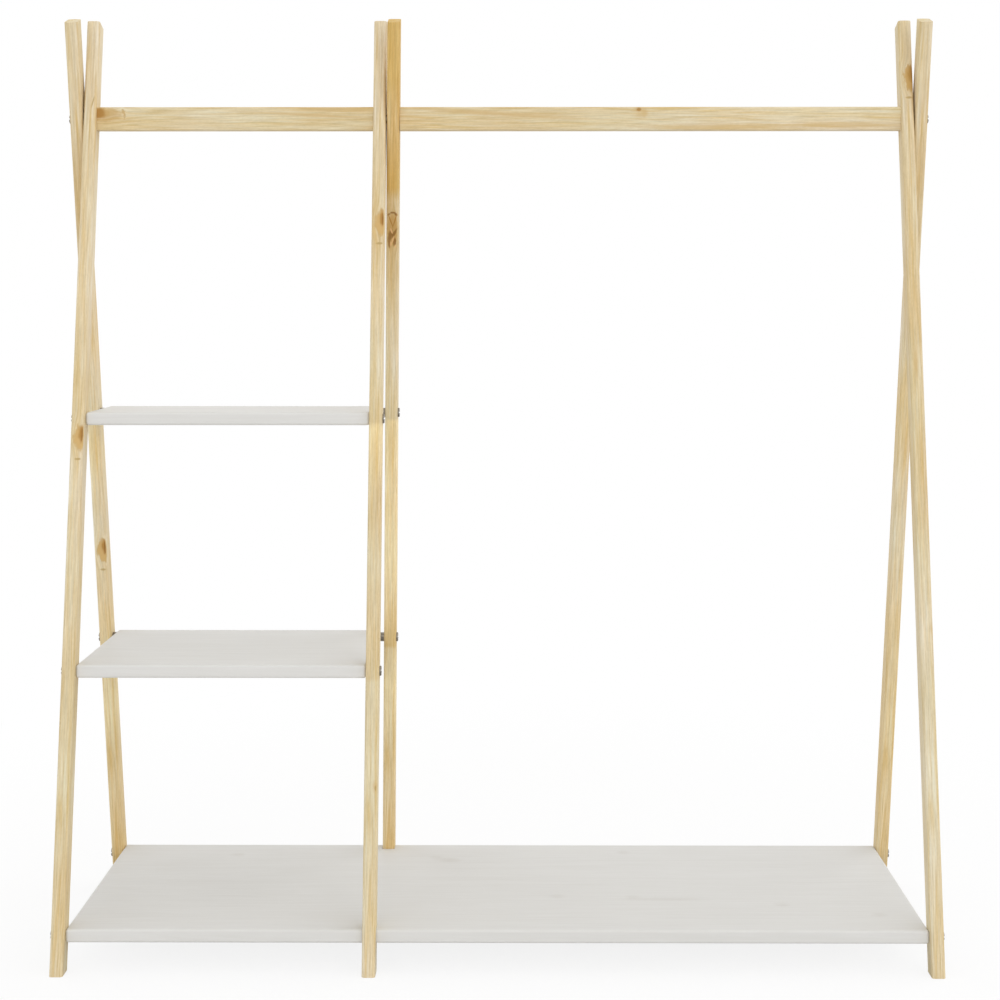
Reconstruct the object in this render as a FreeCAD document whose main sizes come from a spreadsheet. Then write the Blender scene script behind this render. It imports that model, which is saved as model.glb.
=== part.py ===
import FreeCAD, Part
import os
import re

import Sketcher

# A low pine clothes rack: three pairs of flat legs that cross near the top, a rail in two lengths
# between the crossings, two shelves in the left bay, and a bottom board from end to end.
# Sizes are in millimetres and degrees. +Z is up, +X is to the right seen from the front, -Y is the front.
# The origin is on the floor, midway between the end pairs and midway between the front and rear feet.

SIZES = {
    # Legs: the lean is from upright, seen from the side, and the drop is from their tops to the crossing
    "rack_height": 1298.0,
    "leg_width": 18.0,
    "leg_depth": 28.0,
    "leg_round": 3.5,
    "leg_lean": 9.2,
    "crossing_drop": 142.5,
    "crossing_clearance": 0.1,
    # Bays
    "bottom_board_length": 1150.0,
    "left_bay_length": 396.0,
    # Boards: heights are those of the undersides, and the setback is from the legs' outer faces
    "board_thickness": 18.0,
    "board_round": 3.5,
    "board_setback": 8.3,
    "bottom_board_height": 39.6,
    "lower_shelf_height": 380.5,
    "upper_shelf_height": 721.4,
    "notch_clearance": 0.2,
    # Rails
    "rail_height": 33.5,
    "rail_thickness": 18.0,
    "rail_round": 2.0,
    # Connector bolts: the shift is from a leg's middle towards the board's, and the reach is how far a shank
    # goes into a board or rail
    "bolt_shift": 2.0,
    "bolt_diameter": 6.0,
    "bolt_clearance": 0.4,
    "bolt_reach": 44.0,
    "head_diameter": 13.5,
    "head_thickness": 2.5,
    "head_bevel": 0.7,
    "drive_width": 2.6,
    "drive_depth": 1.2,
    # Barrel nuts: the inset is from the end of the board or rail
    "nut_diameter": 10.0,
    "nut_length": 12.0,
    "nut_inset": 36.0,
    "nut_clearance": 0.3,
    "thread_clearance": 0.2,
    "slot_width": 1.4,
    "slot_depth": 1.5,
    # Spacer sleeves and crossing washers
    "sleeve_diameter": 13.5,
    "washer_diameter": 12.0,
    # Dowels: the drop is from a rail's middle
    "dowel_diameter": 6.0,
    "dowel_length": 24.0,
    "dowel_clearance": 0.2,
    "dowel_drop": 10.5,
}

FORMULAS = {
    # A leg's depth where it is cut level, and its shift towards the crossing per unit of height
    "level_depth": "leg_depth / cos(leg_lean)",
    "lean_rise": "tan(leg_lean)",
    "crossing_height": "rack_height - crossing_drop",
    # Rear legs stand in line with the front legs under the bottom board, and beside them at the crossing.
    # The crossed faces come closest at the lowest point where the two legs still overlap.
    "side_height": "crossing_height - bottom_board_height",
    "overlap_height": "level_depth / (2 * lean_rise)",
    "crossing_gap": "(leg_width * overlap_height + crossing_clearance * side_height)"
                    " / (side_height - overlap_height)",
    "side_rise": "(leg_width + crossing_gap) / side_height",
    # Places along X: end legs' inner faces, the middle front leg's left face, the right rail's left end
    "bay_end": "bottom_board_length / 2",
    "middle_face": "left_bay_length - bay_end",
    "crossing_step": "leg_width + crossing_gap",
    "right_rail_start": "middle_face + leg_width + crossing_step + side_rise * rail_height / 2",
    # Levels of the boards' middles, where their bolts lie
    "bottom_level": "bottom_board_height + board_thickness / 2",
    "lower_level": "lower_shelf_height + board_thickness / 2",
    "upper_level": "upper_shelf_height + board_thickness / 2",
    # The bottom board's notches end at the middle legs' inner faces, at the board's top
    "notch_end": "lean_rise * (crossing_height - bottom_board_height - board_thickness)"
                 " - level_depth / 2 - notch_clearance",
    # Holes and what lies in them
    "bolt_hole": "bolt_diameter + bolt_clearance",
    "nut_hole": "nut_diameter + nut_clearance",
    "dowel_hole": "dowel_diameter + dowel_clearance",
    "dowel_depth": "dowel_length / 2 + dowel_clearance",
    "dowel_level": "crossing_height - dowel_drop",
    "head_tilt": "side_rise * head_diameter / 2",
}

UPRIGHT = FreeCAD.Rotation()
TO_RIGHT = FreeCAD.Rotation(FreeCAD.Vector(0, 1, 0), 90)
TO_LEFT = FreeCAD.Rotation(FreeCAD.Vector(0, 1, 0), -90)
TO_FRONT = FreeCAD.Rotation(FreeCAD.Vector(1, 0, 0), 90)
FRONT, REAR = -1, 1

doc = FreeCAD.newDocument("ClothesRack")
sheet = doc.addObject("Spreadsheet::Sheet", "Sizes")
for row, (alias, size) in enumerate(SIZES.items(), start=1):
    sheet.set(f"A{row}", str(size))
    sheet.setAlias(f"A{row}", alias)
doc.recompute()
sub_parts = []


def in_cells(text):
    """Spell a formula out in the sheet's cells."""
    def spell(word):
        name = word.group()
        if name in SIZES:
            return "Sizes." + name
        return f"({in_cells(FORMULAS[name])})" if name in FORMULAS else name
    return re.sub(r"[a-z_]+", spell, text)


def bind(thing, **formulas):
    """Tie properties of an object to formulas; a double underscore in a name stands for a dot."""
    for path, text in formulas.items():
        thing.setExpression(path.replace("__", "."), in_cells(text))


def put(thing, place, turn=UPRIGHT):
    """Set an object's Placement: three formulas and a turn."""
    thing.Placement = FreeCAD.Placement(FreeCAD.Vector(), turn)
    x, y, z = place
    bind(thing, Placement__Base__x=x, Placement__Base__y=y, Placement__Base__z=z)


# Places on the legs, as formulas of a level

def leg_middle(side, level):
    """Y of the middle of a front or rear leg."""
    return f"{side} * lean_rise * (crossing_height - ({level}))"


def bolt_line(side, level):
    """Y of the bolts that hold a board to the front or rear legs."""
    return f"({leg_middle(side, level)} - {side} * bolt_shift)"


def sideways(level):
    """How far a rear leg stands to the side of its front leg."""
    return f"side_rise * (({level}) - bottom_board_height)"


# Features of the wooden pieces

def new_body(label, place):
    body = doc.addObject("PartDesign::Body", label)
    put(body, place)
    sub_parts.append(body)
    return body


def new_sketch(body, role, offset="0"):
    """A sketch on one of the body's own planes, moved along that plane's normal."""
    sketch = body.newObject("Sketcher::SketchObject", "Sketch")
    plane = next(feature for feature in body.Origin.OriginFeatures if feature.Role == role)
    sketch.AttachmentSupport = [(plane, "")]
    sketch.MapMode = "FlatFace"
    bind(sketch, AttachmentOffset__Base__z=offset)
    return sketch


def fix_point(sketch, geometry, point, x, y):
    for kind, text in (("DistanceX", x), ("DistanceY", y)):
        index = sketch.addConstraint(Sketcher.Constraint(kind, -1, 1, geometry, point, 1.0))
        sketch.setExpression(f"Constraints[{index}]", in_cells(text))


def draw_polygon(sketch, corners):
    turn = 360 / len(corners)
    spokes = [FreeCAD.Rotation(FreeCAD.Vector(0, 0, 1), turn * i) for i in range(len(corners))]
    starts = [spoke.multVec(FreeCAD.Vector(1, 0, 0)) for spoke in spokes]
    ends = starts[1:] + starts[:1]
    sides = [sketch.addGeometry(Part.LineSegment(*pair), False) for pair in zip(starts, ends)]
    for side, following, (x, y) in zip(sides, sides[1:] + sides[:1], corners):
        sketch.addConstraint(Sketcher.Constraint("Coincident", side, 2, following, 1))
        fix_point(sketch, side, 1, x, y)


def draw_rectangle(sketch, left, low, right, high):
    draw_polygon(sketch, [(left, low), (right, low), (right, high), (left, high)])


def draw_circle(sketch, x, y, diameter):
    start = Part.Circle(FreeCAD.Vector(1, 1, 0), FreeCAD.Vector(0, 0, 1), 1.0)
    circle = sketch.addGeometry(start, False)
    fix_point(sketch, circle, 3, x, y)
    index = sketch.addConstraint(Sketcher.Constraint("Diameter", circle, 2.0))
    sketch.setExpression(f"Constraints[{index}]", in_cells(diameter))


def add_pad(body, sketch, length):
    pad = body.newObject("PartDesign::Pad", "Pad")
    pad.Profile = sketch
    bind(pad, Length=length)
    return pad


def add_cut(body, sketch, depth=None, along_normal=False):
    """Cut a sketch's outline right through, or to a depth, against or along the sketch's normal."""
    cut = body.newObject("PartDesign::Pocket", "Pocket")
    cut.Profile = sketch
    if depth is None:
        cut.Type = "ThroughAll"
        cut.SideType = "Symmetric"
    else:
        cut.Reversed = along_normal
        bind(cut, Length=depth)


def round_edges(body, base, radius, longer_than=0.0):
    doc.recompute()
    edges = [f"Edge{i}" for i, edge in enumerate(base.Shape.Edges, start=1) if edge.Length > longer_than]
    fillet = body.newObject("PartDesign::Fillet", "Fillet")
    fillet.Base = (base, edges)
    bind(fillet, Radius=radius)


# Wooden pieces

def make_leg(label, left, side, lean, board_levels, rail_face=None, pegged=False):
    """A leg whose left face meets the floor at X = left.

    side is FRONT or REAR, lean is -1, 0 or 1 for the sideways lean of its top, rail_face is the X of the
    rail end that is dowelled to it and 1 or -1 for the side that the rail is on, and pegged says that the
    bottom board is dowelled to it.
    """
    body = new_body(label, (left, "0", "0"))
    foot = new_sketch(body, "XY_Plane")
    middle = leg_middle(side, "0")
    draw_rectangle(foot, "0", f"{middle} - level_depth / 2", "leg_width", f"{middle} + level_depth / 2")
    stick = add_pad(body, foot, "rack_height")
    stick.UseCustomVector = True
    stick.AlongSketchNormal = True
    stick.Direction = FreeCAD.Vector(0, 0, 1)
    bind(stick, Direction__x=f"{lean} * side_rise", Direction__y=f"{-side} * lean_rise")

    # The top is cut at the mirror of the foot's angle, down towards the side that the leg leans to
    high_edge = f"{leg_middle(side, 'rack_height')} + {side} * level_depth / 2"
    low_edge = f"{high_edge} - {side} * 2 * level_depth * cos(2 * leg_lean)"
    top = new_sketch(body, "YZ_Plane")
    draw_polygon(top, [(high_edge, "rack_height"),
                       (low_edge, "rack_height - 2 * level_depth * sin(2 * leg_lean)"),
                       (low_edge, "rack_height + leg_depth")])
    add_cut(body, top)
    round_edges(body, body.Tip, "leg_round", longer_than=sheet.rack_height / 2)

    bores = new_sketch(body, "YZ_Plane")
    draw_circle(bores, "0", "crossing_height", "bolt_hole")
    for level in board_levels:
        draw_circle(bores, bolt_line(side, level), level, "bolt_hole")
    add_cut(body, bores)
    if rail_face:
        face, rail_side = rail_face
        bore = new_sketch(body, "YZ_Plane", f"{face} - ({left})")
        draw_circle(bore, "0", "dowel_level", "dowel_hole")
        add_cut(body, bore, "dowel_depth", along_normal=rail_side < 0)
    if pegged:
        bore = new_sketch(body, "XZ_Plane", f"{-side} * notch_end")
        draw_circle(bore, f"middle_face + leg_width / 2 - ({left})", "bottom_level", "dowel_hole")
        add_cut(body, bore, "dowel_depth", along_normal=side == FRONT)


def make_rail(label, start, length):
    """A rail whose left end is at X = start, drilled at both ends for a bolt, its nut and a dowel."""
    body = new_body(label, (start, "0", "crossing_height"))
    section = new_sketch(body, "YZ_Plane")
    draw_rectangle(section, "-rail_thickness / 2", "-rail_height / 2", "rail_thickness / 2", "rail_height / 2")
    bar = add_pad(body, section, length)
    round_edges(body, bar, "rail_round", longer_than=sheet.rail_height + sheet.rail_thickness)
    for end, along_normal in (("0", True), (length, False)):
        for drop, hole, depth in (("0", "bolt_hole", "bolt_reach + bolt_clearance"),
                                  ("-dowel_drop", "dowel_hole", "dowel_depth")):
            bore = new_sketch(body, "YZ_Plane", end)
            draw_circle(bore, "0", drop, hole)
            add_cut(body, bore, depth, along_normal)
    nuts = new_sketch(body, "XZ_Plane", "-rail_thickness / 2")
    for x in ("nut_inset", f"{length} - nut_inset"):
        draw_circle(nuts, x, "0", "nut_hole")
    add_cut(body, nuts, "rail_thickness / 2 + nut_length / 2 + nut_clearance", along_normal=True)


def make_board(label, start, length, height, level):
    """A board whose left end is at X = start, drilled at its four corners for bolts and their nuts."""
    body = new_body(label, (start, "0", height))
    half_depth = f"(level_depth / 2 + {leg_middle(REAR, level)} - board_setback)"
    outline = new_sketch(body, "XY_Plane")
    draw_rectangle(outline, "0", f"-{half_depth}", length, half_depth)
    slab = add_pad(body, outline, "board_thickness")
    round_edges(body, slab, "board_round")
    for end, along_normal in (("0", True), (length, False)):
        bores = new_sketch(body, "YZ_Plane", end)
        for side in (FRONT, REAR):
            draw_circle(bores, bolt_line(side, level), "board_thickness / 2", "bolt_hole")
        add_cut(body, bores, "bolt_reach + bolt_clearance", along_normal)
    nuts = new_sketch(body, "XY_Plane")
    for x in ("nut_inset", f"{length} - nut_inset"):
        for side in (FRONT, REAR):
            draw_circle(nuts, x, bolt_line(side, level), "nut_hole")
    add_cut(body, nuts, "board_thickness / 2 + nut_length / 2 + nut_clearance", along_normal=True)
    return body, half_depth


def notch_board(body, half_depth):
    """Cut the bottom board's notches for the middle legs, with a dowel hole at the end of each."""
    left = "bay_end + middle_face"
    for side in (FRONT, REAR):
        lean = "side_rise * board_thickness" if side == REAR else "0"
        notch = new_sketch(body, "XY_Plane")
        draw_rectangle(notch, f"{left} - notch_clearance", f"{side} * notch_end",
                       f"{left} + leg_width + {lean} + notch_clearance", f"{side} * 2 * {half_depth}")
        add_cut(body, notch)
        bore = new_sketch(body, "XZ_Plane", f"{-side} * notch_end")
        draw_circle(bore, f"{left} + leg_width / 2", "board_thickness / 2", "dowel_hole")
        add_cut(body, bore, "dowel_depth", along_normal=side == REAR)


# Fasteners

def make_cylinder(diameter, length, place, turn):
    cylinder = doc.addObject("Part::Cylinder", "Cylinder")
    bind(cylinder, Radius=f"({diameter}) / 2", Height=length)
    put(cylinder, place, turn)
    return cylinder


def make_difference(base, tool):
    cut = doc.addObject("Part::Cut", "Cut")
    cut.Base = base
    cut.Tool = tool
    return cut


def make_tube(outer, inner, length, place, turn):
    return make_difference(make_cylinder(outer, length, place, turn), make_cylinder(inner, length, place, turn))


def make_bolt(seat, y, z, towards, length):
    """A bolt along X whose head lies on the face at X = seat; towards is 1 or -1, the shank's direction.

    A level slot for the driver runs across the head.
    """
    outward = TO_LEFT if towards > 0 else TO_RIGHT
    shank = make_cylinder("bolt_diameter", length, (f"{seat} + {towards} * ({length})", y, z), outward)
    disc = make_cylinder("head_diameter", "head_thickness - head_bevel", (seat, y, z), outward)
    bevel = doc.addObject("Part::Cone", "Bevel")
    bind(bevel, Radius1="head_diameter / 2", Radius2="head_diameter / 2 - head_bevel", Height="head_bevel")
    put(bevel, (f"{seat} - {towards} * (head_thickness - head_bevel)", y, z), outward)
    blank = doc.addObject("Part::MultiFuse", "Blank")
    blank.Shapes = [shank, disc, bevel]
    drive = doc.addObject("Part::Box", "Drive")
    bind(drive, Length="drive_depth", Width="head_diameter", Height="drive_width")
    put(drive, (f"{seat} - {towards} * (head_thickness - drive_depth / 2) - drive_depth / 2",
                f"{y} - head_diameter / 2", f"{z} - drive_width / 2"))
    return make_difference(blank, drive)


def make_nut(place, turn):
    """A barrel nut centred on a bolt along X, with a screwdriver slot in the end that can be reached.

    An upright nut is reached from below, and a level one from behind.
    """
    x, y, z = place
    left = f"{x} - nut_diameter / 2"
    if turn == UPRIGHT:
        start = (x, y, f"{z} - nut_length / 2")
        slot_corner = (left, f"{y} - slot_width / 2", start[2])
    else:
        start = (x, f"{y} + nut_length / 2", z)
        slot_corner = (left, start[1], f"{z} - slot_width / 2")
    barrel = make_cylinder("nut_diameter", "nut_length", start, turn)
    thread = make_cylinder("bolt_diameter + thread_clearance", "nut_diameter", (left, y, z), TO_RIGHT)
    slot = doc.addObject("Part::Box", "Slot")
    bind(slot, Length="nut_diameter", Width="slot_width", Height="slot_depth")
    put(slot, slot_corner, turn)
    return make_difference(make_difference(barrel, thread), slot)


def make_group(label, pieces):
    group = doc.addObject("Part::Compound", label)
    group.Links = pieces
    sub_parts.append(group)


def make_single(label, piece):
    piece.Label = label
    sub_parts.append(piece)


# Legs, from left to right
left_start = "-bay_end - leg_width"
rear_shift = sideways("0")
shelf_levels = ["lower_level", "upper_level"]
make_leg("left_front_leg", left_start, FRONT, 0, ["bottom_level"] + shelf_levels, ("-bay_end", 1))
make_leg("left_rear_leg", f"{left_start} - {rear_shift}", REAR, -1, ["bottom_level"] + shelf_levels)
make_leg("middle_front_leg", "middle_face", FRONT, 0, shelf_levels, ("middle_face", -1), pegged=True)
make_leg("middle_rear_leg", f"middle_face + {rear_shift}", REAR, 1, shelf_levels, ("right_rail_start", 1),
         pegged=True)
make_leg("right_front_leg", "bay_end", FRONT, 0, ["bottom_level"], ("bay_end", -1))
make_leg("right_rear_leg", f"bay_end + {rear_shift}", REAR, 1, ["bottom_level"])

# Rails and boards
right_rail_length = "(bay_end - right_rail_start)"
make_rail("left_rail", "-bay_end", "left_bay_length")
make_rail("right_rail", "right_rail_start", right_rail_length)
make_board("upper_shelf", "-bay_end", "left_bay_length", "upper_shelf_height", "upper_level")
make_board("lower_shelf", "-bay_end", "left_bay_length", "lower_shelf_height", "lower_level")
notch_board(*make_board("bottom_board", "-bay_end", "bottom_board_length", "bottom_board_height",
                        "bottom_level"))

# Bolts, nuts and sleeves of the three boards. A rear bolt is longer by its leg's stand-off, and its head
# clears the leaning face.
boards = {"upper_shelf": ("upper_level", "middle_face"), "lower_shelf": ("lower_level", "middle_face"),
          "bottom_board": ("bottom_level", "bay_end")}
for board, (level, right_end) in boards.items():
    bolts, nuts, sleeves = [], [], []
    for side, stand_off in ((FRONT, "0"), (REAR, f"({sideways(level)} + head_tilt)")):
        y = bolt_line(side, level)
        for end, towards in (("-bay_end", 1), (right_end, -1)):
            seat = f"{end} - {towards} * (leg_width + {stand_off})"
            bolts.append(make_bolt(seat, y, level, towards, f"leg_width + {stand_off} + bolt_reach"))
            nuts.append(make_nut((f"{end} + {towards} * nut_inset", y, level), UPRIGHT))
            if side == REAR and board != "bottom_board":
                length = f"{sideways(level)} - side_rise * sleeve_diameter / 2"
                turn = TO_LEFT if towards > 0 else TO_RIGHT
                sleeves.append(make_tube("sleeve_diameter", "bolt_hole", length, (end, y, level), turn))
    make_group(f"{board}_bolts", bolts)
    make_group(f"{board}_nuts", nuts)
    if sleeves:
        make_group(f"{board}_sleeves", sleeves)

# Bolts through the end crossings, the stud through the middle one, and washers between the crossed legs
outer_seat = "(bay_end + leg_width + crossing_step + head_tilt)"
through = "leg_width + crossing_step + head_tilt + bolt_reach"
make_single("left_crossing_bolt", make_bolt(f"-{outer_seat}", "0", "crossing_height", 1, through))
make_single("right_crossing_bolt", make_bolt(outer_seat, "0", "crossing_height", -1, through))
stud_length = "right_rail_start - middle_face + 2 * bolt_reach"
make_single("middle_stud", make_cylinder("bolt_diameter", stud_length,
                                         ("middle_face - bolt_reach", "0", "crossing_height"), TO_RIGHT))
washer_faces = (("-bay_end - leg_width", TO_LEFT), ("middle_face + leg_width", TO_RIGHT),
                ("bay_end + leg_width", TO_RIGHT))
make_group("crossing_washers", [
    make_tube("washer_diameter", "bolt_hole", "crossing_gap - side_rise * washer_diameter / 2",
              (face, "0", "crossing_height"), turn) for face, turn in washer_faces])

# Nuts and dowels in the rails' ends, and the bottom board's dowels
rail_ends = (("-bay_end", 1), ("middle_face", -1), ("right_rail_start", 1), ("bay_end", -1))
make_group("rail_nuts", [make_nut((f"{end} + {inward} * nut_inset", "0", "crossing_height"), TO_FRONT)
                         for end, inward in rail_ends])
make_group("rail_dowels", [
    make_cylinder("dowel_diameter", "dowel_length", (f"{end} - dowel_length / 2", "0", "dowel_level"), TO_RIGHT)
    for end, inward in rail_ends])
make_group("bottom_board_dowels", [
    make_cylinder("dowel_diameter", "dowel_length",
                  ("middle_face + leg_width / 2", f"{side} * notch_end + dowel_length / 2", "bottom_level"),
                  TO_FRONT) for side in (FRONT, REAR)])

# Every object must be sound, and every cut must take something away, before anything is written
doc.recompute()
for thing in doc.Objects:
    if {"Invalid", "Error"} & set(thing.State):
        raise RuntimeError(f"{thing.Name} failed: {thing.State}")
    if thing.TypeId == "PartDesign::Pocket" and thing.Shape.Volume > thing.BaseFeature.Shape.Volume - 1.0:
        raise RuntimeError(f"{thing.Name} cuts nothing")
for part in sub_parts:
    if part.Shape.isNull() or not part.Shape.isValid():
        raise RuntimeError(f"{part.Label} has no valid shape")
os.makedirs("parts", exist_ok=True)
for part in sub_parts:
    part.Shape.exportStep(f"parts/{part.Label}.step")
    print(f"{part.Label}: {len(part.Shape.Solids)} solids, {part.Shape.Volume / 1000:.1f} cm3")
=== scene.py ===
"""Looks of a low pine clothes rack.

The legs and rails are pine under clear lacquer, and the boards are pine under white lacquer. The fittings
are zinc-plated steel, and the dowels beech.
"""

import math
from collections import namedtuple

import bpy
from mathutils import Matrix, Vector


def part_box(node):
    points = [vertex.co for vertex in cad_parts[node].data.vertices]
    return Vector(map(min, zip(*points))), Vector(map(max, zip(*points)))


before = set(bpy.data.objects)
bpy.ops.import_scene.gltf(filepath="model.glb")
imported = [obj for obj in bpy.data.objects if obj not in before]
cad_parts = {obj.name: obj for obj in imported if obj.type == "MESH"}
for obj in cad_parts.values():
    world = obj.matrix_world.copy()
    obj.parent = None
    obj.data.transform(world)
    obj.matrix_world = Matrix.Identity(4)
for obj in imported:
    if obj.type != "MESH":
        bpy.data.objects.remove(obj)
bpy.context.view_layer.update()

MM = 0.001

# Legs: their lean from upright, and their width and depth in mm. A front leg's foot is on the camera's side.
LEG_LEAN = math.radians(9.2)
LEG_WIDTH, LEG_DEPTH = 18.0, 28.0
FRONT, REAR = -1, 1

# The photograph's camera is level. Its focal length and the point it looks at are in pixels of the
# photograph, its turn is in radians, and its sensor in mm.
PHOTO_SIZE = 1000.0
FOCAL_LENGTH = 1775.0
SIGHT_POINT = (509.4, 298.9)
CAMERA_PLACE = (27.7 * MM, -2546.8 * MM, 897.6 * MM)
CAMERA_TURN = 0.0047
SENSOR = 36.0

# Light, as the share of a colour that a white card facing it would send back. A softbox is (degrees round
# from the camera's side, degrees up, degrees wide, level).
DOME_LEVEL = 0.25
SOFTBOXES = {
    "front": (0, 22, 60, 0.27),
    "top": (0, 88, 40, 0.05),
    "left": (-80, 20, 110, 0.44),
    "right": (80, 20, 110, 0.66),
    "back": (180, 20, 110, 0.24),
}

# The floor, in metres, lies just below the feet. Near the rack a share of it is plain white, and the rest
# keeps the shadow. Between two distances from the rack's middle it turns all white. Its colour is darker
# where it only lights the rack than where it is seen.
FLOOR_SIZE = 30.0
FLOOR_DROP = 0.2 * MM
FLOOR_WHITE = 0.85
FLOOR_NEAR, FLOOR_FAR = 0.7, 1.6
FLOOR_SEEN, FLOOR_LIGHTING = "#fbfbfb", "#e6e6e6"


def linear(hex_colour):
    """An sRGB hex colour as linear red, green, blue and alpha."""
    def channel(i):
        c = int(hex_colour[i:i + 2], 16) / 255
        return c / 12.92 if c <= 0.04045 else ((c + 0.055) / 1.055) ** 2.4
    return (channel(1), channel(3), channel(5), 1.0)


def add(tree, kind, inputs=(), stops=(), **settings):
    """Add a node. Inputs go by name or in order, and each is a value, a socket or a node's first output."""
    node = tree.nodes.new("ShaderNode" + kind)
    for name, value in settings.items():
        setattr(node, name, value)
    sockets = [socket for socket in node.inputs if socket.enabled]
    by_name = {socket.name: socket for socket in reversed(sockets)}
    pairs = inputs.items() if isinstance(inputs, dict) else enumerate(inputs)
    for key, value in pairs:
        socket = by_name[key] if isinstance(key, str) else sockets[key]
        if isinstance(value, bpy.types.Node):
            value = next(output for output in value.outputs if output.enabled)
        if isinstance(value, bpy.types.NodeSocket):
            tree.links.new(value, socket)
        else:
            socket.default_value = value
    if stops:
        elements = node.color_ramp.elements
        while len(elements) < len(stops):
            elements.new(1.0)
        for element, (position, colour) in zip(elements, stops):
            element.position = position
            element.color = colour
    return node


def new_material(name):
    """An empty material and its node tree."""
    material = bpy.data.materials.new(name)
    material.use_nodes = True
    material.node_tree.nodes.clear()
    return material, material.node_tree


# Wood, with all its lengths in mm

# The palest tone is paler than the pine: painted light, lifting legs where the lamps leave them in shade.
PINE = {"shade_lifting_ivory": "#edd8aa", "pale": "#dfcfae", "cream": "#dac8a2", "butter": "#dec698", "straw": "#d6c095",
        "honey": "#d4b67e", "amber": "#d0ae6a"}
WHITE_LACQUER = "#dcdbd8"
BEECH = "#cda579"

# Spots in the wood, from fine to broad, as the width across the grain and the length along it. The finest
# are drawn about as wide as a pixel, so that they show.
FIBRES = {"pores": (1.8, 5), "fibres": (1.3, 34), "strands": (2.6, 60), "streaks": (6.0, 140),
          "clouds": (18, 200)}

# Other spots: where the grain sways, where rings fade, and the crumbs at a mark's edge. Rings fade in
# between two levels of their spots.
SWAY, FADE, CRUMBS = (60, 260), (9, 90), (3, 9)
FADE_START, FADE_END = 0.35, 0.65

# How dark the wood is through one year, and the mean of that. Weather makes some years wider than others.
YEAR = ((0.0, 0.5), (0.15, 0.0), (0.5, 0.2), (0.82, 1.0), (1.0, 0.5))
YEAR_MEAN = 0.4
WEATHER_SHIFT, WEATHER_PACE = 3.0, 0.4

# How much the tone's red, green and blue drift as the grain sways
TONE_DRIFT = (0.08, 0.08, 0.16)

# A mark in the wood lies round a place in the piece's own frame. It has a half width, a half length along
# the grain, a tilt in degrees, and a number that says how much more sharply it ends on its right.
Mark = namedtuple("Mark", "kind place width length tilt steep", defaults=(0.0, 1.0))

# Colour and strength of a mark, and how much of its half width its soft edge takes
MARKS = {
    "rim": ("#c5a369", 0.75, 0.30),
    "flesh": ("#d2ae72", 0.85, 0.40),
    "heart": ("#ab7b3b", 0.85, 0.90),
    "bark": ("#845a2a", 0.75, 0.70),
    "halo": ("#bf9756", 0.50, 0.60),
    "fleck": ("#e3b983", 0.85, 0.80),
    "dash": ("#b79a62", 0.80, 0.90),
    "streak": ("#cfb17c", 0.60, 1.60),
    "shadow": ("#c9c5be", 0.28, 1.50),
}

# Round some marks the grain is pushed aside, by a share of their half width, out to a number of half widths
BENDS_GRAIN = ("rim", "halo", "shadow")
KNOT_PUSH, KNOT_REACH = 0.6, 2.5


def wood_spots(tree, place, size, detail, roughness=0.5):
    """Uneven spots in the wood, of a width across the grain and a length along it."""
    width, length = size
    stretched = add(tree, "VectorMath", [place, (1 / width, 1 / width, 1 / length)], operation="MULTIPLY")
    return add(tree, "TexNoise", {"Vector": stretched, "Scale": 1.0, "Detail": detail,
                                  "Roughness": roughness})


def bend_round_marks(tree, local, grown, marks):
    """The grain pushed aside round the marks, and each mark's reach: 0 at its middle and 1 at its edge."""
    reaches = []
    for mark in marks:
        size = (mark.width, mark.width, mark.length)
        turn = (0, math.radians(mark.tilt), 0)
        inside = add(tree, "Mapping", {"Vector": local, "Location": mark.place, "Rotation": turn,
                                       "Scale": size}, vector_type="TEXTURE")
        if mark.steep > 1:
            steeper = add(tree, "VectorMath", [inside, (mark.steep, 1, 1)], operation="MULTIPLY")
            inside = add(tree, "VectorMath", [inside, steeper], operation="MAXIMUM")
        reach = add(tree, "VectorMath", [inside], operation="LENGTH").outputs["Value"]
        reaches.append(reach)
        if mark.kind in BENDS_GRAIN:
            push = add(tree, "MapRange", {"Value": reach, "From Min": KNOT_REACH, "From Max": 0.0,
                                          "To Max": KNOT_PUSH}, interpolation_type="SMOOTHERSTEP")
            aside = add(tree, "VectorMath", {"Vector": inside, "Scale": push}, operation="SCALE")
            shift = (-mark.width, -mark.width, 0)
            grown = add(tree, "VectorMath", [aside, shift, grown], operation="MULTIPLY_ADD")
    return grown, reaches


def growth_rings(tree, grown, along, pith, drift, ring_width):
    """Growth rings round the pith, of uneven width, that fade in and out along the grain."""
    heart = add(tree, "VectorMath", {"Vector": (*drift, 0), "Scale": along}, operation="SCALE")
    heart = add(tree, "VectorMath", [heart, (*pith, 0)], operation="ADD")
    across = add(tree, "VectorMath", [grown, heart], operation="SUBTRACT")
    across = add(tree, "VectorMath", [across, (1, 1, 0)], operation="MULTIPLY")
    radius = add(tree, "VectorMath", [across], operation="LENGTH").outputs["Value"]
    year = add(tree, "Math", [radius, 1 / ring_width], operation="MULTIPLY")
    weather = add(tree, "TexNoise", {"W": year, "Scale": WEATHER_PACE, "Detail": 2.0}, noise_dimensions="1D")
    season = add(tree, "Math", [weather, WEATHER_SHIFT, year], operation="MULTIPLY_ADD")
    season = add(tree, "Math", [season], operation="FRACT")
    rings = add(tree, "ValToRGB", [season], stops=[(time, (shade, shade, shade, 1)) for time, shade in YEAR])
    centred = add(tree, "Math", [rings, YEAR_MEAN], operation="SUBTRACT")
    fade = wood_spots(tree, grown, FADE, detail=1.0)
    fade = add(tree, "MapRange", {"Value": fade, "From Min": FADE_START, "From Max": FADE_END})
    return add(tree, "Math", [centred, fade], operation="MULTIPLY")


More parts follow.
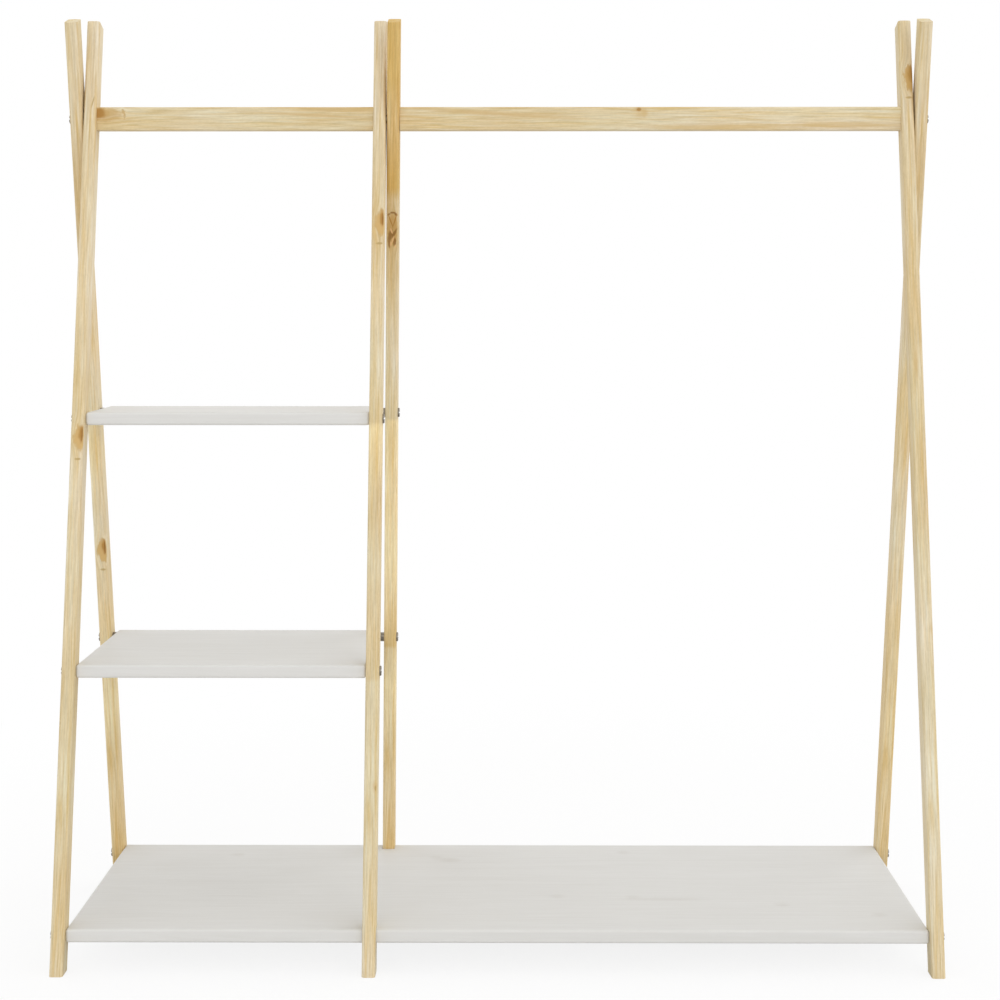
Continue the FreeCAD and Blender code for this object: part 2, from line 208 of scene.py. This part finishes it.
def wood_grain(tree, grain_axis, pith, drift, ring_width, wander, marks):
    """The figure of sawn wood in three dimensions, so that it runs on over edges and ends.

    grain_axis is the foot and turn of the piece's own frame, whose z runs along the grain. pith is where the
    heart of the tree lies at the foot, drift is how far it strays per unit of length, and wander is how far
    the grain sways.
    """
    foot, turn = grain_axis
    place = add(tree, "TexCoord").outputs["Object"]
    local = add(tree, "Mapping", {"Vector": place, "Location": foot, "Rotation": turn,
                                  "Scale": (MM, MM, MM)}, vector_type="TEXTURE")
    along = add(tree, "SeparateXYZ", [local]).outputs["Z"]
    sway = wood_spots(tree, local, SWAY, detail=2.0).outputs["Color"]
    grown = add(tree, "VectorMath", [sway, (wander, wander, 0), local], operation="MULTIPLY_ADD")
    grown, reaches = bend_round_marks(tree, local, grown, marks)
    grain = {"local": local, "along": along, "sway": sway, "reaches": reaches,
             "rings": growth_rings(tree, grown, along, pith, drift, ring_width)}
    for name, size in FIBRES.items():
        noise = wood_spots(tree, grown, size, detail=2.0, roughness=0.55)
        grain[name] = add(tree, "Math", [noise, 0.5], operation="SUBTRACT")
    return grain


def blend_figure(tree, grain, shares):
    """One figure round 0, from pale below it to dark above."""
    mixed = 0.0
    for name, share in shares.items():
        mixed = add(tree, "Math", [grain[name], share, mixed], operation="MULTIPLY_ADD")
    return mixed


def shade_wood(tree, colour, figure, pale, dark):
    """Make a colour paler and darker by a figure. pale and dark are factors of its red, green and blue."""
    shade = add(tree, "MapRange", {"Vector": figure, "From Min": (-1, -1, -1), "From Max": (1, 1, 1),
                                   "To Min": pale, "To Max": dark}, data_type="FLOAT_VECTOR")
    return add(tree, "VectorMath", [colour, shade], operation="MULTIPLY")


def draw_marks(tree, colour, grain, marks):
    """Lay the marks over a colour, in order, with uneven edges."""
    uneven = wood_spots(tree, grain["local"], CRUMBS, detail=3.0)
    uneven = add(tree, "Math", [uneven, 0.5], operation="SUBTRACT")
    for reach, mark in zip(grain["reaches"], marks):
        mark_colour, strength, edge = MARKS[mark.kind]
        ragged = add(tree, "Math", [reach, uneven], operation="ADD")
        mask = add(tree, "MapRange", {"Value": ragged, "From Min": 1 + edge / 2, "From Max": 1 - edge / 2,
                                      "To Max": strength}, interpolation_type="SMOOTHSTEP")
        colour = add(tree, "Mix", {"Factor": mask, "A": colour, "B": linear(mark_colour)}, data_type="RGBA")
    return colour


def lacquer(tree, colour, figure, smoothest, roughest, relief):
    """A satin film over the wood, smoothest where the figure is pale. The grain can just be felt in it."""
    roughness = add(tree, "MapRange", {"Value": figure, "From Min": -0.5, "From Max": 0.5,
                                       "To Min": smoothest, "To Max": roughest})
    bump = add(tree, "Bump", {"Height": figure, "Strength": relief, "Distance": 0.1 * MM})
    shader = add(tree, "BsdfPrincipled", {"Base Color": colour, "Roughness": roughness, "Normal": bump,
                                          "IOR": 1.45, "Specular IOR Level": 0.12})
    add(tree, "OutputMaterial", {"Surface": shader})


def clear_pine(name, grain_axis, length, tones, pith, drift=(0.0, 0.0), marks=()):
    """Scots pine, planed, sanded and clear-lacquered: pale cream early wood with soft tan late-wood lines
    and a few orange knots, in a satin film that shows soft highlights.

    tones are (place, tone) along the stick.
    """
    material, tree = new_material(name)
    grain = wood_grain(tree, grain_axis, pith, drift, ring_width=4.2, wander=7.0, marks=marks)
    fine = blend_figure(tree, grain, {"pores": 1.1, "fibres": 2.8, "strands": 1.5})
    figure = blend_figure(tree, grain, {"rings": 0.6, "strands": 2.0, "streaks": 2.4, "clouds": 1.4})
    share = add(tree, "Math", [grain["along"], 1 / length], operation="MULTIPLY")
    stops = [(place / length, linear(PINE[tone])) for place, tone in tones]
    colour = add(tree, "ValToRGB", [share], stops=stops)
    least = tuple(1 - channel / 2 for channel in TONE_DRIFT)
    hue = add(tree, "VectorMath", [grain["sway"], TONE_DRIFT, least], operation="MULTIPLY_ADD")
    colour = add(tree, "VectorMath", [colour, hue], operation="MULTIPLY")
    colour = shade_wood(tree, colour, figure, pale=(1.05, 1.15, 1.38), dark=(0.95, 0.85, 0.62))
    colour = shade_wood(tree, colour, fine, pale=(1.16, 1.17, 1.2), dark=(0.84, 0.83, 0.8))
    if marks:
        colour = draw_marks(tree, colour, grain, marks)
    lacquer(tree, colour, figure, smoothest=0.5, roughest=0.62, relief=0.3)
    return material


def white_pine(name, grain_axis, pith, drift=(0.0, 0.0), marks=()):
    """Pine board, sanded and sprayed with white lacquer: a warm grey-white film, thin enough that late wood
    and knots show through as faint lines, with a soft sheen."""
    material, tree = new_material(name)
    grain = wood_grain(tree, grain_axis, pith, drift, ring_width=7.0, wander=16.0, marks=marks)
    figure = blend_figure(tree, grain, {"rings": 0.7, "fibres": 0.8, "strands": 1.5, "streaks": 1.3,
                                        "clouds": 0.7})
    colour = shade_wood(tree, linear(WHITE_LACQUER)[:3], figure, pale=(1.03, 1.03, 1.03),
                        dark=(0.965, 0.96, 0.95))
    if marks:
        colour = draw_marks(tree, colour, grain, marks)
    lacquer(tree, colour, figure, smoothest=0.5, roughest=0.6, relief=0.25)
    return material


def beech(name, grain_axis):
    """Beech dowel, turned and left unfinished: even pink-tan wood with fine dark lines, and dull."""
    material, tree = new_material(name)
    grain = wood_grain(tree, grain_axis, pith=(40, 0), drift=(0.0, 0.0), ring_width=2.0, wander=2.0,
                       marks=())
    figure = blend_figure(tree, grain, {"rings": 0.2, "fibres": 1.0, "streaks": 0.5})
    colour = shade_wood(tree, linear(BEECH)[:3], figure, pale=(1.1, 1.1, 1.1), dark=(0.85, 0.8, 0.75))
    shader = add(tree, "BsdfPrincipled", {"Base Color": colour, "Roughness": 0.7, "IOR": 1.5})
    add(tree, "OutputMaterial", {"Surface": shader})
    return material


# Metal

ZINC_DARK, ZINC_PALE = "#78726a", "#888278"
CLOUD_WIDTH = 3.0 * MM
# Real scratches are finer than a pixel. These are drawn wider, so that they show.
SCRATCH_WIDTH = 1.5 * MM


def zinc_plated_steel(name):
    """Zinc-plated steel, turned and barrel-plated: a dull grey metal with a mild shine, broken by fine
    scratches and cloudy patches."""
    material, tree = new_material(name)
    place = add(tree, "TexCoord").outputs["Object"]
    clouds = add(tree, "TexNoise", {"Vector": place, "Scale": 1 / CLOUD_WIDTH, "Detail": 3.0})
    colour = add(tree, "ValToRGB", [clouds], stops=[(0.3, linear(ZINC_DARK)), (0.7, linear(ZINC_PALE))])
    roughness = add(tree, "MapRange", {"Value": clouds, "To Min": 0.3, "To Max": 0.48})
    scratches = add(tree, "TexNoise", {"Vector": place, "Scale": 1 / SCRATCH_WIDTH, "Detail": 2.0})
    bump = add(tree, "Bump", {"Height": scratches, "Strength": 0.15, "Distance": 0.03 * MM})
    shader = add(tree, "BsdfPrincipled", {"Base Color": colour, "Metallic": 1.0, "Roughness": roughness,
                                          "Normal": bump})
    add(tree, "OutputMaterial", {"Surface": shader})
    return material


# Where each wooden piece's grain runs

rail_low, rail_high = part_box("left_rail")
board_low, board_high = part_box("bottom_board")
CROSSING_HEIGHT = (rail_low.z + rail_high.z) / 2
RAIL_THICKNESS = (rail_high.y - rail_low.y) / MM
BOARD_THICKNESS = (board_high.z - board_low.z) / MM
LEG_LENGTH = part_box("left_front_leg")[1].z / math.cos(LEG_LEAN) / MM
ALONG_X = (0.0, math.radians(90), 0.0)
ALONG_Y = (math.radians(-90), 0.0, 0.0)


def leg_axis(node, side):
    """The foot's middle and the turn of a leg. Rear legs also lean sideways, away from their front legs."""
    low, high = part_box(node)
    width = LEG_WIDTH * MM
    leans_left = node.startswith("left")
    foot_x = high.x - width / 2 if leans_left else low.x + width / 2
    side_lean = math.atan((high.x - low.x - width) / high.z) * (-1 if leans_left else 1)
    foot = (foot_x, side * math.tan(LEG_LEAN) * CROSSING_HEIGHT, 0.0)
    return foot, (side * LEG_LEAN, side_lean, 0.0)


def lying_axis(node):
    """The left end's middle and the turn of a rail, board or dowel that lies along X."""
    low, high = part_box(node)
    return (low.x, (low.y + high.y) / 2, (low.z + high.z) / 2), ALONG_X


def on_leg(kind, x, along, *shape):
    """A mark in a leg's front face, x from its middle and along from its foot."""
    return Mark(kind, (x, -LEG_DEPTH / 2, along), *shape)


def on_rail(kind, along, up, *shape):
    """A mark in a rail's front face, along from its left end and up from its middle."""
    return Mark(kind, (-up, -RAIL_THICKNESS / 2, along), *shape)


def on_board(x, y, width=7.0, length=9.0):
    """A knot under the lacquer of the bottom board's top, x and y from the board's middle."""
    return Mark("shadow", (-BOARD_THICKNESS / 2, y, x - board_low.x / MM), width, length)


def leg_knot(along):
    """A branch cut through at the right edge of a leg's front face, and the dark dash below it."""
    edge = 7.2
    steep = 8
    return [on_leg("rim", edge, along, 11.6, 19, 0, steep),
            on_leg("flesh", edge, along - 0.5, 9.8, 16.5, 0, steep),
            on_leg("heart", edge, along + 6, 4.8, 11, 0, steep),
            on_leg("bark", edge, along + 5, 1.0, 10),
            on_leg("dash", 2.5, along - 29.5, 4.4, 1.6)]


def bark_knot(along):
    """A large dark knot with bark in it, across the whole front face of a leg."""
    ground = [on_leg("halo", 0.2, along, 7.4, 25), on_leg("halo", 0.2, along, 6.8, 23)]
    arch = [on_leg("bark", -5, along + 22, 2.6, 1.5, -35), on_leg("bark", 0.2, along + 24.5, 3.8, 1.4),
            on_leg("bark", 5.2, along + 22, 2.6, 1.5, 35)]
    branch = [on_leg("heart", -2.7, along + 13, 0.9, 11, -21), on_leg("heart", 3.6, along + 13, 0.9, 11, 17)]
    hollows = [on_leg("bark", -3.2, along - 9, 3.0, 9, 15), on_leg("bark", 2.6, along - 6, 2.0, 8, 28),
               on_leg("bark", 3.6, along - 18, 2.4, 6), on_leg("bark", -4.4, along - 21, 1.8, 5)]
    light = [on_leg("fleck", -1.2, along - 2, 1.2, 4, -20), on_leg("fleck", 0.8, along - 15, 1.2, 5, 15),
             on_leg("fleck", -2.0, along - 21, 1.3, 3), on_leg("fleck", 4.6, along - 24, 1.0, 2.4)]
    return ground + arch + branch + hollows + light


def finish_nodes(material, *names):
    """Give the material to the named pieces."""
    for name in names:
        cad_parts[name].data.materials.clear()
        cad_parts[name].data.materials.append(material)


def finish_leg(node, side, **look):
    """Clear-lacquered pine along a leg."""
    finish_nodes(clear_pine("pine_" + node, leg_axis(node, side), LEG_LENGTH, **look), node)


def finish_rail(node, **look):
    """Clear-lacquered pine along a rail."""
    low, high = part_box(node)
    finish_nodes(clear_pine("pine_" + node, lying_axis(node), (high.x - low.x) / MM, **look), node)


def finish_board(node, **look):
    """White-lacquered pine along a board."""
    finish_nodes(white_pine("lacquer_" + node, lying_axis(node), **look), node)


# Legs, with tones and marks from the foot up. On the middle legs the tone steps where a shelf meets them.

finish_leg("left_front_leg", FRONT, pith=(60, 40), drift=(0.02, 0.0),
           tones=[(0, "cream"), (120, "straw"), (240, "cream"), (380, "straw"), (520, "cream"),
                  (660, "pale"), (790, "straw"), (920, "pale"), (1160, "cream"), (1290, "pale")],
           marks=leg_knot(712) + [on_leg("dash", 4, 1193, 1.0, 8, 12)])
# Rear legs' tones are painted paler than their wood, to lift the shade on fronts that face a little down.
finish_leg("left_rear_leg", REAR, pith=(-45, 60), drift=(0.0, 0.02),
           tones=[(0, "honey"), (140, "butter"), (230, "butter"), (300, "shade_lifting_ivory"), (430, "butter"),
                  (580, "pale"), (690, "shade_lifting_ivory"), (760, "pale"), (840, "butter"), (960, "cream"),
                  (1080, "straw"), (1200, "cream")],
           marks=leg_knot(533))
# Just below the upper shelf this leg takes the palest tone, which is painted light.
finish_leg("middle_front_leg", FRONT, pith=(50, -70), drift=(-0.03, 0.0),
           tones=[(0, "pale"), (120, "cream"), (381, "cream"), (382, "straw"), (460, "straw"),
                  (540, "cream"), (630, "straw"), (729, "shade_lifting_ivory"), (730, "straw"), (790, "cream"),
                  (920, "pale"), (1000, "straw"), (1100, "cream"), (1290, "pale")],
           marks=leg_knot(1016) + [on_leg("streak", 6, 243, 3, 8), on_leg("dash", 6.5, 241, 1.2, 3)])
# This leg's palest stretches are painted light, lifting shade the lamps leave on its front.
finish_leg("middle_rear_leg", REAR, pith=(-70, -30), drift=(0.03, 0.02),
           tones=[(0, "honey"), (140, "butter"), (240, "butter"), (320, "shade_lifting_ivory"), (383, "butter"),
                  (384, "honey"), (500, "shade_lifting_ivory"), (732, "shade_lifting_ivory"), (733, "cream"), (860, "pale"),
                  (910, "cream"), (950, "straw"), (1055, "straw"), (1072, "amber"), (1090, "amber"),
                  (1170, "honey"), (1230, "amber")],
           marks=bark_knot(1013) + [on_leg("bark", -8.8, 553, 1.0, 12)])
finish_leg("right_front_leg", FRONT, pith=(75, 25), drift=(0.0, -0.02),
           tones=[(0, "cream"), (200, "pale"), (270, "pale"), (370, "cream"), (440, "pale"), (560, "cream"),
                  (640, "straw"), (760, "cream"), (870, "straw"), (1010, "cream")],
           marks=leg_knot(1228) + [on_leg("halo", 6, 1226, 7, 17), on_leg("streak", 8.5, 452, 3, 8),
                                   on_leg("streak", -1, 815, 2.5, 16)])
# These tones are painted paler than the wood, to lift the shade on the leg's front.
finish_leg("right_rear_leg", REAR, pith=(-55, -45), drift=(0.02, 0.02),
           tones=[(0, "straw"), (120, "butter"), (420, "butter"), (580, "pale"), (760, "butter"),
                  (860, "pale"), (960, "cream"), (1080, "straw"), (1170, "cream")])

# Rails, with tones and marks from the left end

finish_rail("left_rail", pith=(45, 50), tones=[(0, "straw"), (60, "cream"), (230, "cream"), (310, "straw")],
            marks=[on_rail("halo", 8, 6, 10.5, 27), on_rail("rim", 5, 8, 6.5, 14),
                   on_rail("heart", 3, 8, 7.0, 9), on_rail("halo", 38.5, 9.5, 4.5, 1.8, -20),
                   on_rail("halo", 40, 3.5, 4.5, 1.6, 5), on_rail("streak", 350, 13, 2.5, 60, 2),
                   on_rail("streak", 310, 5, 1.6, 70, 3)])
finish_rail("right_rail", pith=(-60, 45), drift=(0.05, 0.0),
            tones=[(0, "straw"), (90, "cream"), (160, "straw"), (300, "cream"), (560, "pale"),
                   (716, "cream")],
            marks=[on_rail("streak", 80, 11, 3.0, 90, 4), on_rail("streak", 190, 4, 3.5, 70, 3),
                   on_rail("streak", 460, -12, 4.0, 120), on_rail("streak", 640, -10, 4.0, 90),
                   on_rail("streak", 344, 9, 7.5, 9, 30), on_rail("heart", 342, 13, 2.4, 3.2),
                   on_rail("streak", 350, 8, 5.0, 3.5)])

# Boards

finish_board("upper_shelf", pith=(60, 20))
finish_board("lower_shelf", pith=(55, -40), drift=(0.0, 0.05))
finish_board("bottom_board", pith=(80, 40), drift=(0.0, 0.03),
             marks=[on_board(-395, 134), on_board(-95, 124), on_board(-80, 112, 9, 16),
                    on_board(-72, 107, 8, 12), on_board(188, 147), on_board(83, -51), on_board(189, -55),
                    on_board(235, -62, 6, 45), on_board(394, -84), on_board(521, -123)])

# Fittings

finish_nodes(zinc_plated_steel("zinc_plated_steel"), "upper_shelf_bolts", "upper_shelf_nuts",
             "upper_shelf_sleeves", "lower_shelf_bolts", "lower_shelf_nuts", "lower_shelf_sleeves",
             "bottom_board_bolts", "bottom_board_nuts", "left_crossing_bolt", "right_crossing_bolt",
             "middle_stud", "crossing_washers", "rail_nuts")
finish_nodes(beech("beech_rail_dowels", lying_axis("rail_dowels")), "rail_dowels")
dowel_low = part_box("bottom_board_dowels")[0]
finish_nodes(beech("beech_board_dowels", ((dowel_low.x, 0.0, dowel_low.z), ALONG_Y)), "bottom_board_dowels")


# Floor, light and camera

def seen_directly(tree):
    """1 for what the eye, a shiny surface or glass looks at, and 0 for what only lights the rack."""
    path = add(tree, "LightPath").outputs
    seen = add(tree, "Math", [path["Is Camera Ray"], path["Is Glossy Ray"]], operation="MAXIMUM")
    return add(tree, "Math", [seen, path["Is Transmission Ray"]], operation="MAXIMUM")


def lay_floor():
    """A pale floor with the rack's soft shadow near it, and plain white further off."""
    half = FLOOR_SIZE / 2
    corners = [(-half, -half, 0), (half, -half, 0), (half, half, 0), (-half, half, 0)]
    mesh = bpy.data.meshes.new("floor")
    mesh.from_pydata(corners, [], [(0, 1, 2, 3)])
    floor = bpy.data.objects.new("floor", mesh)
    floor.location.z = -FLOOR_DROP
    bpy.context.scene.collection.objects.link(floor)
    material, tree = new_material("pale_floor")
    seen = seen_directly(tree)
    place = add(tree, "TexCoord").outputs["Object"]
    distance = add(tree, "VectorMath", [place], operation="LENGTH").outputs["Value"]
    white = add(tree, "MapRange", {"Value": distance, "From Min": FLOOR_NEAR, "From Max": FLOOR_FAR,
                                   "To Min": FLOOR_WHITE}, interpolation_type="SMOOTHSTEP")
    white = add(tree, "Math", [white, seen], operation="MULTIPLY")
    colour = add(tree, "Mix", {"Factor": seen, "A": linear(FLOOR_LIGHTING), "B": linear(FLOOR_SEEN)},
                 data_type="RGBA")
    matt = add(tree, "BsdfDiffuse", {"Color": colour})
    glow = add(tree, "Emission", {"Color": (1, 1, 1, 1), "Strength": 1.0})
    mixed = add(tree, "MixShader", [white, matt, glow])
    add(tree, "OutputMaterial", {"Surface": mixed})
    mesh.materials.append(material)


def set_light():
    """An even dome, a softbox above and a wide one on each side."""
    world = bpy.data.worlds.new("studio")
    bpy.context.scene.world = world
    world.use_nodes = True
    tree = world.node_tree
    tree.nodes.clear()
    dome = add(tree, "Background", {"Color": (1, 1, 1, 1), "Strength": DOME_LEVEL})
    backdrop = add(tree, "Background", {"Color": (1, 1, 1, 1), "Strength": 1.0})
    mixed = add(tree, "MixShader", [seen_directly(tree), dome, backdrop])
    add(tree, "OutputWorld", {"Surface": mixed})
    for name, (round_from_camera, up, spread, level) in SOFTBOXES.items():
        lamp = bpy.data.lights.new("softbox_" + name, "SUN")
        lamp.energy = level * math.pi
        lamp.angle = math.radians(spread)
        softbox = bpy.data.objects.new("softbox_" + name, lamp)
        softbox.rotation_euler = (math.radians(90 - up), 0.0, math.radians(round_from_camera))
        bpy.context.scene.collection.objects.link(softbox)


def set_camera():
    """A level camera, shifted so that its sight point lies where it does in the photograph."""
    lens = bpy.data.cameras.new("camera")
    lens.sensor_width = SENSOR
    lens.lens = SENSOR * FOCAL_LENGTH / PHOTO_SIZE
    lens.shift_x = 0.5 - SIGHT_POINT[0] / PHOTO_SIZE
    lens.shift_y = SIGHT_POINT[1] / PHOTO_SIZE - 0.5
    camera = bpy.data.objects.new("camera", lens)
    camera.location = CAMERA_PLACE
    camera.rotation_euler = (math.radians(90), 0.0, CAMERA_TURN)
    bpy.context.scene.collection.objects.link(camera)
    bpy.context.scene.camera = camera


lay_floor()
set_light()
set_camera()
bpy.context.scene.view_settings.view_transform = "Standard"
